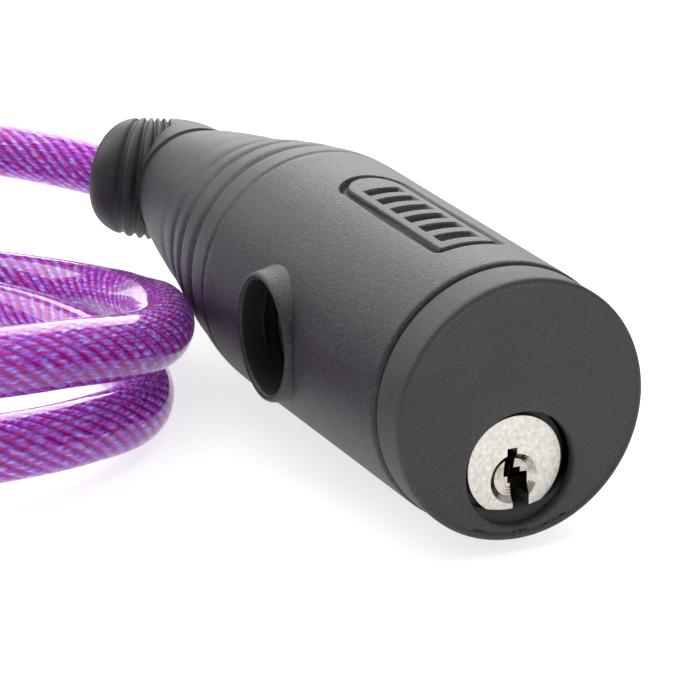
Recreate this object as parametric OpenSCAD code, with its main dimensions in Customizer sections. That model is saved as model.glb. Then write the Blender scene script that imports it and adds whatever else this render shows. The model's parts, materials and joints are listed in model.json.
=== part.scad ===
// Key-operated cable lock: a round barrel with a wafer cylinder, a sliding latch,
// a side socket and a sheathed steel cable that ends in a locking pin.
// +X is the key end, +Z is up, and the barrel lies on the ground plane z = 0.

/* [Barrel] */
// Length of the barrel from the key face to the boot
body_len = 100; // [92:1:120]
// Radius at the front of the barrel
front_r = 15.2; // [15:0.1:18.5]
// Largest radius, just ahead of the shoulder
rear_r = 16.4; // [15.6:0.1:20]
// Distance from the key face to the largest radius
taper_end = 53; // [48:1:60]
// Radius of the barrel's rear end
tail_r = 9.1; // [8.6:0.1:11]
// Wall of the barrel cover
wall = 1.5; // [1.2:0.1:2]
// Number of soft ribs on the shoulder
rib_count = 3; // [2:1:4]
// Height of a rib
rib_h = 0.5; // [0.2:0.1:0.8]

/* [End cap] */
// Visible length of the cap
cap_len = 5.5; // [4.5:0.1:7]
// Radius of the cap
cap_r = 14.9; // [14.5:0.1:17.8]
// Thickness of the cap's face
cap_face = 1.4; // [1:0.1:2]
// Radius of the cap's keyhole opening
cap_hole_r = 6.6; // [6.1:0.1:6.8]

/* [Cylinder] */
// Drop of the cylinder below the barrel's axis
cyl_drop = 6.7; // [6.2:0.1:6.9]
// Radius of the turning rotor
rotor_r = 5.7; // [5:0.1:5.8]
// Length of the rotor
rotor_len = 16.5; // [16:0.5:20]
// Depth of the rotor's face below the cap's face
rotor_recess = 1.6; // [1.4:0.1:2]
// Outer radius of the cylinder housing
housing_r = 6.8; // [6.7:0.1:7.2]
// Thickness of one wafer
wafer_t = 1; // [0.8:0.1:1.2]
// Distance between wafers
wafer_pitch = 2.4; // [2.2:0.1:2.6]
// Wafer width across the rotor
wafer_w = 6; // [5.4:0.1:6.4]
// Travel of a wafer
wafer_travel = 0.5; // [0.3:0.1:0.6]

/* [Socket] */
// Distance of the socket from the key face
socket_s = 34.5; // [33:0.5:38]
// Radius of the socket bore
socket_r = 6.9; // [6.2:0.1:7.6]
// Wall of the socket liner
liner_wall = 0.7; // [0.5:0.1:1]
// Depth of the socket bore
socket_depth = 24; // [22:0.5:26]
// Width of the raised collar around the socket
collar_w = 1.5; // [1.2:0.1:2]

/* [Latch] */
// Travel of the latch
latch_travel = 2.2; // [1.8:0.1:2.4]
// Width of the latch's yoke
yoke_w = 7.4; // [7.2:0.1:8.4]
// Width of the latch's arm
arm_w = 5; // [4:0.1:6]
// Thickness of the latch's yoke
yoke_t = 3.4; // [3.2:0.1:4]
// Depth of the latch's finger in the socket
finger_depth = 1.5; // [1.2:0.1:1.7]

/* [Cable] */
// Diameter of the sheathed cable
cable_d = 8; // [6:0.5:9]
// Length of the boot outside the barrel
boot_len = 24; // [20:1:30]
// Radius of the boot at its free end
boot_end_r = 4.9; // [4.7:0.1:6]

/* [Plug] */
// Radius of the locking pin
pin_r = 6.7; // [6:0.1:7.4]
// Length of the locking pin's free end
pin_len = 22; // [20:0.5:24]
// Length of the plug sleeve
sleeve_len = 20; // [16:0.5:26]

/* [Hidden] */
$fn = 96;
fit = 0.1;              // clearance between parts that are assembled
run = 0.05;             // radial running clearance of the rotor
eps = 0.01;
latch_gap = 0.15;       // sliding clearance of the latch
axis_z = rear_r;        // the widest ring of the barrel rests on the ground
cable_r = cable_d / 2;

// Stations, measured from the key face towards the cable
cover_s = cap_len + 0.2;
core_front_s = cap_len + 0.4;
core_rear_s = body_len - 20;
bore_r = front_r - wall;
core_r = bore_r - fit;
housing_s = rotor_recess;
rotor_end_s = rotor_recess + rotor_len;
housing_end_s = rotor_end_s;
yoke_s = rotor_end_s + 1.6;
wafer_first_s = core_front_s + 0.4;
shoulder_step = (body_len - taper_end) / 8;

// Turn and slide the local +Z axis onto the barrel's axis, towards the cable
module at(s) translate([body_len / 2 - s, 0, axis_z]) rotate([0, -90, 0]) children();
// The same on the cylinder's own axis
module at_cyl(s) at(s) translate([-cyl_drop, 0, 0]) children();
// Local +Z across the barrel, out of the socket's mouth
module at_socket(y) translate([body_len / 2 - socket_s, y, axis_z]) rotate([90, 0, 0]) children();

// Sweep a round section along points, with one radius for each point
function unit(v) = v / norm(v);
function tangent(p, i) = unit(p[min(i + 1, len(p) - 1)] - p[max(i - 1, 0)]);
function side_of(t) = unit(cross(t, abs(t[2]) > 0.9 ? [1, 0, 0] : [0, 0, 1]));
module sweep(p, r, sides) {
    rings = [for (i = [0:len(p) - 1]) let (t = tangent(p, i), u = side_of(t), v = cross(t, u))
        for (k = [0:sides - 1]) let (a = 360 * k / sides) p[i] + r[i] * (cos(a) * u + sin(a) * v)];
    last = (len(p) - 1) * sides;
    polyhedron(rings, concat(
        [[for (k = [0:sides - 1]) k]],
        [[for (k = [sides - 1:-1:0]) last + k]],
        [for (i = [0:len(p) - 2], k = [0:sides - 1]) let (a = i * sides, b = (k + 1) % sides)
            [a + k, a + sides + k, a + sides + b, a + b]]));
}

// Cable route. The coil is followed in turns about coil_at: angle, radius, height
coil_at = [-26, -60];
route_keys = [
    [126, 61, 17.8], [150, 60, 20], [190, 54, 21], [240, 48, 21], [300, 45, 20.8], [345, 44, 20.2],
    [385, 44, 17.2], [410, 44.6, 13.4], [435, 43, 10.6], [455, 43, 7.6], [480, 44.8, 4.8], [505, 46, 4],
    [570, 46.4, 4], [640, 43.4, 4.6], [690, 40.6, 6.6], [730, 41, 7], [752, 42.8, 6], [768, 42.8, 4.4],
    [784, 40.6, 4], [802, 36.6, 4], [822, 34, 4], [850, 33.4, 4], [880, 35, 4.6], [905, 38.2, 7.6],
    [925, 41.6, 10.6], [945, 46.2, 12.4], [965, 51, 11], [985, 55, 7.6], [1010, 57, 4.8]];
lead_to = 240;          // the lead's last angle, inside the coil's solid
tail_from = 945;        // the tail's first angle
tail_to = 1010;
function slope(k, i, c) = let (a = max(i - 1, 0), b = min(i + 1, len(k) - 1))
    (k[b][c] - k[a][c]) / (k[b][0] - k[a][0]);
function key_index(k, a) = max([for (i = [0:len(k) - 2]) if (i == 0 || k[i][0] <= a) i]);
function hermite(k, a, c) = let (i = key_index(k, a), h = k[i + 1][0] - k[i][0], t = (a - k[i][0]) / h)
    (2 * t ^ 3 - 3 * t ^ 2 + 1) * k[i][c] + (t ^ 3 - 2 * t ^ 2 + t) * h * slope(k, i, c)
    + (3 * t ^ 2 - 2 * t ^ 3) * k[i + 1][c] + (t ^ 3 - t ^ 2) * h * slope(k, i + 1, c);
function route(a) = let (r = hermite(route_keys, a, 1))
    [coil_at[0] + r * cos(a), coil_at[1] + r * sin(a), max(cable_r, hermite(route_keys, a, 2))];

// The boot bends with the cable, from the barrel's rear to where the route starts
rear_x = -body_len / 2;
boot_exit = route(126);
exit_dir = unit(route(128) - boot_exit);
boot_reach = boot_len * 0.45;
function boot_point(t) = let (a = [rear_x - 0.05, 0, axis_z], b = a + [-boot_reach, 0, 0],
        c = boot_exit - boot_reach * exit_dir)
    (1 - t) ^ 3 * a + 3 * (1 - t) ^ 2 * t * b + 3 * (1 - t) * t ^ 2 * c + t ^ 3 * boot_exit;

// Outer outline of the barrel as [radius, station] pairs
function rib_wave(i) = rib_h * (1 - cos(360 * i / 8)) / 2;
rib_start = taper_end + 2;
rib_len = shoulder_step * 1.15;
shoulder_drop = rear_r - tail_r;
function shoulder_r(s) = let (t = (s - taper_end) / (body_len - taper_end))
    rear_r - shoulder_drop * (0.75 * t + 0.25 * t ^ 2);
outline = concat(
    [[front_r - 0.3, cover_s], [front_r, cover_s + 0.3], [rear_r, taper_end - 3], [rear_r, taper_end]],
    [for (n = [0:rib_count - 1], i = [0:7]) let (s = rib_start + rib_len * (n + i / 8))
        [shoulder_r(s) - rib_h + rib_wave(i), s]],
    [for (s = [rib_start + rib_count * rib_len, (rib_start + rib_count * rib_len + body_len) / 2])
        [shoulder_r(s) - rib_h, s]],
    [[tail_r, body_len - 1], [tail_r - 0.6, body_len]]);
// Where the inside leaves its straight bore and follows the shoulder
cone_s = taper_end + 3;
tail_bore_r = tail_r - wall;
function core_r_at(s) = core_r - max(0, s - cone_s + 1) * (core_r - tail_bore_r) / (body_len - 2 - cone_s);

// Panel on top of the barrel
panel_s = [12.5, 42];
panel_w = 8.8;
panel_line = 0.9;
panel_depth = 0.5;
mark_count = 6;
module panel_outline(inset) {
    w = panel_w / 2 - inset;
    translate([panel_s[0] + inset, -w]) square([panel_s[1] - panel_s[0] - inset - panel_w / 2, 2 * w]);
    translate([panel_s[1] - panel_w / 2, 0]) circle(w);
}
module panel_cut() {
    translate([body_len / 2, 0, axis_z]) mirror([1, 0, 0]) linear_extrude(rear_r + 2) {
        difference() { panel_outline(0); panel_outline(panel_line); }
        pitch = (panel_s[1] - panel_s[0] - panel_w / 2 - 2) / mark_count;
        for (i = [0:mark_count - 1])
            translate([panel_s[0] + 2 + pitch * (i + 0.5), 0]) square([pitch * 0.42, panel_w * 0.44], center = true);
    }
}
module skin_core() {
    translate([0, 0, cover_s - 1]) cylinder(r1 = front_r - panel_depth, r2 = rear_r - panel_depth,
        h = taper_end - 3 - cover_s + 1);
}

module barrel_cover() color([0.13, 0.13, 0.14]) difference() {
    union() {
        at(0) rotate_extrude() polygon(concat([[0, cover_s]], outline, [[0, body_len]]));
        at_socket(0) cylinder(r = socket_r + collar_w, h = rear_r);
    }
    at(0) rotate_extrude() polygon([[0, cover_s - 1], [bore_r, cover_s - 1], [bore_r, cone_s],
        [tail_bore_r, body_len - 3], [tail_bore_r, body_len + 1], [0, body_len + 1]]);
    at_socket(0) cylinder(r = socket_r, h = rear_r + 2);
    difference() { panel_cut(); at(0) skin_core(); }
    for (s = screw_s) at_screw(s) cylinder(r = 1.6, h = rear_r + 1);
}

// The cap is a cup, held to the core by two pins
module end_cap() color([0.16, 0.16, 0.17]) difference() {
    at(0) rotate_extrude() polygon([[0, 0], [cap_r - 0.35, 0], [cap_r, 0.35], [cap_r, cap_len], [bore_r - 2, cap_len],
        [bore_r - 2, cap_face], [0, cap_face]]);
    at_cyl(-1) cylinder(r = cap_hole_r, h = cap_len + 2);
    for (y = [-1, 1]) at(0) translate([pin_up, y * pin_out, cap_face - 0.6]) cylinder(r = 0.8, h = 2);
}
module cap_seal() color([0.05, 0.05, 0.05]) at(0) difference() {
    translate([0, 0, cap_len]) cylinder(r = bore_r - 0.4, h = cover_s - cap_len);
    translate([0, 0, cap_len - 1]) cylinder(r = bore_r - 2, h = 3);
    translate([-cyl_drop, 0, cap_len - 1]) cylinder(r = housing_r + fit, h = 3);
}
pin_up = 4;
pin_out = 7.5;
cap_pin_len = 8;
module cap_pins() color([0.7, 0.7, 0.72]) for (y = [-1, 1])
    at(cap_face - 0.6) translate([pin_up, y * pin_out, 0]) cylinder(r = 0.8, h = cap_pin_len, $fn = 32);

// Screws run up from underneath through the cover into the core
screw_s = [socket_s + 13];
module at_screw(s) translate([body_len / 2 - s, 0, axis_z]) rotate([180, 0, 0]) children();
module core_screws() color([0.6, 0.6, 0.62]) for (s = screw_s) at_screw(s) difference() {
    union() {
        translate([0, 0, core_r - 5]) cylinder(r = 0.95, h = 5.1, $fn = 32);
        translate([0, 0, core_r + fit]) cylinder(r = 1.5, h = rear_r - 0.5 - core_r - fit, $fn = 32);
    }
    translate([-1.2, -0.25, rear_r - 0.9]) cube([2.4, 0.5, 1]);
}

// Die-cast core: carries the cylinder, the latch channel, the socket and the cable
liner_r = socket_r + liner_wall;
socket_end_y = socket_depth - rear_r;
liner_mouth = sqrt(bore_r ^ 2 - liner_r ^ 2) - fit;
ferrule_r = 5.4;
ferrule_s = core_rear_s - 16;
arm_z = socket_r + liner_wall + 0.2;
arm_t = 2.2;
arm_end_s = socket_s + 3;
arm_start_s = socket_s - 2.5;
yoke_bottom = -cyl_drop - 2.6;
yoke_top = arm_z + arm_t;
cover_z = yoke_top + latch_travel + 0.3;
module latch_channel() {
    yoke_half = yoke_w / 2 + latch_gap;
    arm_half = arm_w / 2 + latch_gap;
    at(yoke_s - 0.3) translate([yoke_bottom - 0.3, -yoke_half, 0]) cube([core_r * 2, 2 * yoke_half, yoke_t + 0.6]);
    at(yoke_s - 0.3) translate([arm_z - 0.2, -arm_half, 0]) cube([core_r, 2 * arm_half, arm_end_s - yoke_s + 0.8]);
    at(socket_s - 1.5) translate([socket_r - 3, -arm_half, 0]) cube([6, 2 * arm_half, 3]);
}
module lock_core() color([0.55, 0.55, 0.57]) difference() {
    at(0) rotate_extrude() polygon([[0, core_front_s], [core_r, core_front_s], [core_r, cone_s - 1],
        [core_r_at(core_rear_s) - fit, core_rear_s],
        [0, core_rear_s]]);
    at_cyl(core_front_s - 1) cylinder(r = housing_r + run, h = housing_end_s - core_front_s + 1 + run);
    at_cyl(housing_end_s - 1) cylinder(r = rotor_tail_r + 0.9, h = yoke_s - housing_end_s + 1.2);
    at_socket(socket_end_y) cylinder(r = liner_r, h = socket_depth);
    latch_channel();
    at(ferrule_s) cylinder(r = ferrule_r, h = 30);
    for (y = [-1, 1]) at(core_front_s - 1) translate([pin_up, y * pin_out, 0]) cylinder(r = 0.8, h = cap_pin_len);
    for (s = screw_s) at_screw(s) translate([0, 0, core_r - 5]) cylinder(r = 0.95, h = 8);
    at(ferrule_s + 8) translate([0, -core_r - 1, 0]) rotate([-90, 0, 0]) cylinder(r = 1.25, h = 2 * core_r + 2);
    for (s = cover_screw_s) at(s) translate([core_r - 6, 0, 0]) rotate([0, 90, 0]) cylinder(r = cover_screw_r, h = 9);
    at(0) translate([cover_z, -cover_w / 2 - fit, cover_s0 - fit])
        cube([core_r, cover_w + 2 * fit, cover_s1 - cover_s0 + 2 * fit]);
}
module socket_liner() color([0.6, 0.6, 0.62]) difference() {
    at_socket(socket_end_y) cylinder(r = liner_r - 0.02, h = socket_end_y + liner_mouth);
    at_socket(socket_end_y - liner_wall) cylinder(r = socket_r, h = socket_depth + 2);
    at(arm_start_s) translate([socket_r - 3, -arm_w / 2 - latch_gap, 0])
        cube([6, arm_w + 2 * latch_gap, arm_end_s - arm_start_s + 0.5]);
}

// Housing with full-length grooves for the wafers, at both positions of the rotor
groove_r = rotor_r + wafer_travel + 0.2;
module cylinder_housing() color([0.5, 0.5, 0.52]) difference() {
    union() {
        at_cyl(housing_s + 1) cylinder(r = cap_hole_r - fit, h = core_front_s - housing_s);
        // Trimmed to the core, so that a thicker wall leaves it clear of the cover
        intersection() {
            at_cyl(core_front_s) cylinder(r = housing_r, h = housing_end_s - core_front_s);
            at(core_front_s) cylinder(r = core_r, h = housing_end_s - core_front_s);
        }
    }
    at_cyl(0) cylinder(r = rotor_r + run, h = housing_end_s + 1);
    for (a = [0, 90]) at_cyl(wafer_first_s - 0.3) rotate(a) translate([-groove_r, -wafer_w / 2 - 0.3, 0])
        cube([2 * groove_r, wafer_w + 0.6, 4 * wafer_pitch + wafer_t + 0.6]);
}

// Rotor: S-shaped keyway, shallow dish in its face, wafer slots, cam bore
dish_r = 2.9;
dish_drop = 1.6;
key_gap = 1.5;
key_len = rotor_len - 2;
module keyway() {
    linear_extrude(key_len + 1) {
        translate([-rotor_r - 1, -0.1]) square([rotor_r - 0.2, key_gap + 0.5]);
        translate([-1.6, -0.9]) square([3.6, key_gap - 0.3]);
        translate([-2.4, -0.4]) square([1.8, key_gap]);
    }
}
module rotor() color([0.75, 0.74, 0.72]) at_cyl(rotor_recess) difference() {
    union() {
        cylinder(r = rotor_r, h = rotor_len);
        translate([0, 0, rotor_len - eps]) cylinder(r = rotor_tail_r, h = 0.8 + eps);
    }
    translate([0, 0, -1]) keyway();
    translate([-dish_drop, 0, 0]) rotate_extrude() polygon([[0, -1], [dish_r, -1], [dish_r, 0], [dish_r * 0.75, 0.55],
        [dish_r * 0.4, 0.8], [0, 0.9]]);
    for (i = [0:4]) translate([-rotor_r - 1, -wafer_w / 2 - 0.1, wafer_z(i) - 0.05])
        cube([2 * rotor_r + 2, wafer_w + 0.2, wafer_t + 0.1]);
    translate([drive_off, 0, rotor_len - drive_seat]) cylinder(r = drive_r, h = 5, $fn = 32);
    translate([0, 0, rotor_len + 0.2]) difference() {
        cylinder(r = rotor_tail_r + 1, h = 0.4);
        translate([0, 0, -1]) cylinder(r = rotor_tail_r - 0.6, h = 3);
    }
}
function wafer_z(i) = wafer_first_s - rotor_recess + i * wafer_pitch;
module rotor_clip() color([0.65, 0.65, 0.67]) at_cyl(rotor_recess + rotor_len + 0.22) difference() {
    cylinder(r = rotor_tail_r + 0.7, h = 0.36);
    translate([0, 0, -1]) cylinder(r = rotor_tail_r - 0.55, h = 3);
    translate([0, -1.5, -1]) cube([6, 3, 3]);
}
drive_off = latch_travel;
drive_r = 0.8;
drive_seat = 0.9;
rotor_tail_r = drive_off + drive_r + 1;
module drive_pin() color([0.7, 0.7, 0.72]) at_cyl(rotor_end_s - drive_seat)
    translate([drive_off, 0, 0]) cylinder(r = drive_r, h = yoke_s + yoke_t - rotor_end_s + drive_seat - 0.2, $fn = 32);

// Wafers lie flush with the rotor at rest and travel downwards into the housing
spring_side = 2.2;
module wafer(i) color([0.8, 0.65, 0.3]) at_cyl(rotor_recess + wafer_z(i)) difference() {
    intersection() {
        cylinder(r = rotor_r - 0.02, h = wafer_t);
        translate([-rotor_r, -wafer_w / 2, -1]) cube([2 * rotor_r, wafer_w, 3]);
    }
    translate([-3.6, -1.4, -1]) cube([6 + 0.2 * (i % 3), 3.2, 3]);
    translate([-1, spring_side - 0.25, -1]) cube([3.5, 2, 3]);
}
// Helix of wire along local +X, from x0 to x1
module coil_spring(x0, x1, radius, wire, turns, sides) {
    n = turns * 10;
    sweep([for (i = [0:n]) [x0 + (x1 - x0) * i / n, radius * cos(36 * i), radius * sin(36 * i)]],
        [for (i = [0:n]) wire / 2], sides);
}
module wafer_spring(i) color([0.85, 0.85, 0.86]) at_cyl(rotor_recess + wafer_z(i) + wafer_t / 2)
    translate([0, spring_side + 0.3, 0]) coil_spring(-0.4, 1.9, 0.25, 0.12, 4, 5);

// Latch: a yoke moved by the drive pin, with an arm that reaches over the socket.
// It is drawn lifted clear of the socket, and drops by its travel as the rotor turns
slot_h = drive_r + 0.6;
pocket_r = 1.3;
pocket_z = yoke_top - 7;
spring_s = yoke_s + yoke_t / 2;
spring_gap = 0.2;
latch_spring_r = 0.9;
latch_wire = 0.35;
module latch() color([0.62, 0.62, 0.6]) translate([0, 0, latch_travel]) difference() {
    union() {
        at(yoke_s) translate([yoke_bottom, -yoke_w / 2, 0]) cube([yoke_top - yoke_bottom, yoke_w, yoke_t]);
        at(yoke_s) translate([arm_z, -arm_w / 2, 0]) cube([arm_t, arm_w, arm_end_s - yoke_s]);
        at(socket_s - 1.2) translate([socket_r - finger_depth, -arm_w / 2, 0])
            cube([arm_z - socket_r + finger_depth + eps, arm_w, 2.4]);
    }
    at_cyl(yoke_s - 1) translate([-slot_h, -yoke_w, 0])
        cube([2 * slot_h, yoke_w + drive_r + 0.4, yoke_t + 2]);
    at(spring_s) translate([pocket_z, 0, 0]) rotate([0, 90, 0]) cylinder(r = pocket_r, h = 12);
}
module latch_spring() color([0.85, 0.85, 0.86]) at(spring_s)
    coil_spring(pocket_z + latch_travel + spring_gap, cover_z - spring_gap, latch_spring_r, latch_wire, 6, 6);
cover_w = yoke_w + 2.2;
cover_s0 = yoke_s - 3.4;
cover_s1 = arm_end_s + 4;
cover_screw_s = [cover_s0 + 1.5, cover_s1 - 1.5];
cover_screw_r = 0.7;
module latch_cover() color([0.5, 0.5, 0.5]) difference() {
    intersection() {
        at(0) translate([cover_z, -cover_w / 2, cover_s0]) cube([core_r, cover_w, cover_s1 - cover_s0]);
        at(cover_s0 - 1) cylinder(r = core_r - 0.05, h = cover_s1 - cover_s0 + 2);
    }
    for (s = cover_screw_s) at(s) translate([core_r - 6, 0, 0]) rotate([0, 90, 0]) cylinder(r = cover_screw_r, h = 9);
}
module cover_screws() color([0.6, 0.6, 0.62]) for (s = cover_screw_s) at(s)
    translate([core_r - 5, 0, 0]) rotate([0, 90, 0]) cylinder(r = cover_screw_r, h = 4.8, $fn = 32);

ferrule_len = 15;
ferrule_floor = 3;
cross_pin_s = ferrule_s + 8;
cross_pin_r = 1.25;
module cable_ferrule() color([0.6, 0.6, 0.62]) difference() {
    at(ferrule_s) cylinder(r = ferrule_r, h = ferrule_len);
    at(ferrule_s + ferrule_floor) cylinder(r = cable_r, h = ferrule_len + 5);
    at(cross_pin_s) translate([0, -core_r - 1, 0]) rotate([-90, 0, 0])
        cylinder(r = cross_pin_r, h = 2 * core_r + 2);
}
module ferrule_pin() color([0.7, 0.7, 0.72]) for (y = [-1, 1])
    at(cross_pin_s) translate([0, y * (cable_r + 0.1), 0]) rotate([-90 * y, 0, 0])
        cylinder(r = cross_pin_r, h = core_r_at(cross_pin_s + 1.5) - cable_r - 0.5, $fn = 32);

// Boot: a ringed strain relief that bends with the cable
boot_rings = 5;
boot_steps = 32;
boot_base_r = tail_r + 0.2;
function boot_r(t) = boot_base_r - (boot_base_r - boot_end_r) * t ^ 3
    - (t > 0.06 && t < 0.76 ? 0.5 * (1 - cos(360 * boot_rings * (t - 0.06) / 0.7)) / 2 : 0);
// The boot's root is held inside the barrel's rear opening
boot_root = [[rear_x + 4, 0, axis_z], [rear_x - 0.02, 0, axis_z]];
function boot_line(n) = [for (i = [0:n]) boot_point(i / n)];
module cable_boot() color([0.07, 0.07, 0.08]) difference() {
    sweep(concat(boot_root, boot_line(boot_steps)),
        concat([for (p = boot_root) tail_bore_r - 0.05], [for (i = [0:boot_steps]) boot_r(i / boot_steps)]), 32);
    sweep(concat([[rear_x + 5, 0, axis_z]], boot_line(12), [boot_exit + exit_dir]),
        [for (i = [0:14]) cable_r], 12);
}

lead_start = ferrule_s + ferrule_floor;
lead_path = concat(
    [for (s = [lead_start, (lead_start + body_len) / 2]) [body_len / 2 - s, 0, axis_z]],
    [for (i = [0:6]) boot_point(i / 6)],
    [for (a = [134:15:lead_to]) route(a)]);
module cable_lead() color([0.5, 0.25, 0.85])
    sweep(lead_path, [for (p = lead_path) cable_r], 12);

// Envelope of the coil's turns
coil_in_r = 29.8;
coil_out_r = 50;
coil_top_r = 45.8;
coil_h = 24.5;
module cable_coil() color([0.5, 0.25, 0.85]) translate([coil_at[0], coil_at[1], 0])
    rotate_extrude() polygon([[coil_in_r, 0], [coil_out_r, 0], [coil_out_r, 5.5], [coil_top_r, 9],
        [coil_top_r, coil_h], [coil_in_r, coil_h]]);

tail_end = route(tail_to);
tail_dir = unit([-sin(tail_to), cos(tail_to), 0]);
tail_straight = 12;
plug_hold = 10;
sleeve_bore = 8;
sleeve_nose = 3;
sleeve_r = pin_r + 0.8;
plug_start = [tail_end[0], tail_end[1], 0] + tail_straight * tail_dir + [0, 0, sleeve_r];
tail_path = concat([for (a = [tail_from:13:tail_to]) route(a)],
    [[tail_end[0], tail_end[1], 0] + tail_straight / 2 * tail_dir + [0, 0, (tail_end[2] + sleeve_r) / 2], plug_start,
        plug_start + plug_hold * tail_dir]);
module cable_tail() color([0.5, 0.25, 0.85]) sweep(tail_path, [for (p = tail_path) cable_r], 12);

// The plug lies on the ground beyond the tail
module at_plug(d) translate(plug_start + d * tail_dir) rotate([0, 90, tail_to + 90]) children();
module plug_sleeve() color([0.13, 0.13, 0.14]) at_plug(0) difference() {
    rotate_extrude() polygon([[0, 0], [sleeve_r - sleeve_nose / 2, 0], [sleeve_r, sleeve_nose],
        [sleeve_r, sleeve_len], [0, sleeve_len]]);
    translate([0, 0, -1]) cylinder(r = cable_r, h = sleeve_bore + 1);
    translate([0, 0, sleeve_bore - 0.1]) cylinder(r = plug_core_r, h = sleeve_len);
}
plug_core_r = 5.2;
module plug_ferrule() color([0.6, 0.6, 0.62]) at_plug(sleeve_bore) difference() {
    cylinder(r = plug_core_r - 0.02, h = sleeve_len - sleeve_bore);
    translate([0, 0, -1]) cylinder(r = cable_r, h = plug_hold - sleeve_bore + 1.1);
}
groove_at = 7;
groove_w = 3.4;
groove_depth = 1.8;
pin_chamfer = 1.5;
groove_end = pin_len - groove_at;
module locking_pin() color([0.7, 0.7, 0.72]) at_plug(sleeve_len) rotate_extrude()
    polygon([[0, 0], [pin_r, 0], [pin_r, groove_end - groove_w], [pin_r - groove_depth, groove_end - groove_w],
        [pin_r - groove_depth, groove_end], [pin_r, groove_end], [pin_r, pin_len - pin_chamfer],
        [pin_r - pin_chamfer, pin_len], [0, pin_len]]);

barrel_cover();
end_cap();
cap_seal();
lock_core();
core_screws();
cap_pins();
socket_liner();
cylinder_housing();
rotor();
rotor_clip();
drive_pin();
wafer(0);  // wafer_1
wafer(1);  // wafer_2
wafer(2);  // wafer_3
wafer(3);  // wafer_4
wafer(4);  // wafer_5
wafer_spring(0);  // wafer_spring_1
wafer_spring(1);  // wafer_spring_2
wafer_spring(2);  // wafer_spring_3
wafer_spring(3);  // wafer_spring_4
wafer_spring(4);  // wafer_spring_5
latch();
latch_spring();
latch_cover();
cover_screws();
cable_ferrule();
ferrule_pin();
cable_boot();
cable_lead();
cable_coil();
cable_tail();
plug_sleeve();
plug_ferrule();
locking_pin();
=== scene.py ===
"""Looks of a key-operated cable lock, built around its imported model.

Everything is in metres, in the model's own frame: +X is the key end, +Z is up and
the barrel lies on z = 0. A station s is the distance from the key face, in millimetres.
"""
import json
import logging
import math
from dataclasses import dataclass, field
from enum import Enum
from typing import Callable, Optional, Sequence, Union

import bpy
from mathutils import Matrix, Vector


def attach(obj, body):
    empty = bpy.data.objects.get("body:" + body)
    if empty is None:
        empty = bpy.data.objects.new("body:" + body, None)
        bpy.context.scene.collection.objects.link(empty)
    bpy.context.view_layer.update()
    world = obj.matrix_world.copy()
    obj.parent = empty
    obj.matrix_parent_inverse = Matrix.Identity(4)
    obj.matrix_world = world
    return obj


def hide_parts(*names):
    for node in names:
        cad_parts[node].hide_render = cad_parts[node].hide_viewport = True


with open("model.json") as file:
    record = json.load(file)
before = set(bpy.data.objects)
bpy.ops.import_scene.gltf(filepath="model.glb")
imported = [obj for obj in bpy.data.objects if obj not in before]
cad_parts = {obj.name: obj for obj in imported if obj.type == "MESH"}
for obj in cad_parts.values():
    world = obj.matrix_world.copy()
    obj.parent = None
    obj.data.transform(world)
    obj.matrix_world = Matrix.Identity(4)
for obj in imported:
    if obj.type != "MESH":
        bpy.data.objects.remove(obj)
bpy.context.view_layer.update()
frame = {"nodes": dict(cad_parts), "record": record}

LOG = logging.getLogger("cable_lock")
MM = 0.001
TAU = 2 * math.pi
UP = Vector((0, 0, 1))

Point = tuple[float, float, float]
Pair = tuple[float, float]
Ring = list[Vector]
Socket = bpy.types.NodeSocket

# A Mix node keeps one set of sockets for numbers and one for colours.
NUMBER_A, NUMBER_B, COLOUR_A, COLOUR_B, COLOUR_OUT = 2, 3, 6, 7, 2


class Slot(Enum):
    """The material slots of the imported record."""

    COVER = "textured_plastic"
    CAP = "cap_plastic"
    BOOT = "boot_rubber"
    SEAL = "seal_rubber"
    NICKEL = "nickel"
    ZINC = "zinc"
    STEEL = "steel"
    BRASS = "brass"
    SHEATH = "violet_sheath"


def smooth_step(low: float, high: float, x: float) -> float:
    """Rise smoothly from 0 at low to 1 at high."""
    t = min(1.0, max(0.0, (x - low) / (high - low)))
    return t * t * (3 - 2 * t)


def cubic(start: Union[float, Vector], leaving: Union[float, Vector], end: Union[float, Vector],
          arriving: Union[float, Vector], t: float) -> Union[float, Vector]:
    """Go from one value to another on a cubic.

    Args:
        start: the value at t = 0.
        leaving: the slope there.
        end: the value at t = 1.
        arriving: the slope there.
        t: the share of the way.

    Returns:
        The value at t.
    """
    return ((2 * t**3 - 3 * t**2 + 1) * start + (t**3 - 2 * t**2 + t) * leaving
            + (3 * t**2 - 2 * t**3) * end + (t**3 - t**2) * arriving)


def through(keys: Sequence[Pair], x: float) -> float:
    """Follow a smooth line through keys.

    Args:
        keys: pairs of place and value, in rising order of place.
        x: the place asked for.

    Returns:
        The value there, from a cubic with the keys' mean slopes.
    """
    x = min(max(x, keys[0][0]), keys[-1][0])
    i = max(j for j in range(len(keys) - 1) if j == 0 or keys[j][0] <= x)

    def slope(j: int) -> float:
        """Mean slope around key j."""
        a, b = keys[max(j - 1, 0)], keys[min(j + 1, len(keys) - 1)]
        return (b[1] - a[1]) / (b[0] - a[0])

    h = keys[i + 1][0] - keys[i][0]
    t = (x - keys[i][0]) / h
    return cubic(keys[i][1], h * slope(i), keys[i + 1][1], h * slope(i + 1), t)


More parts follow.
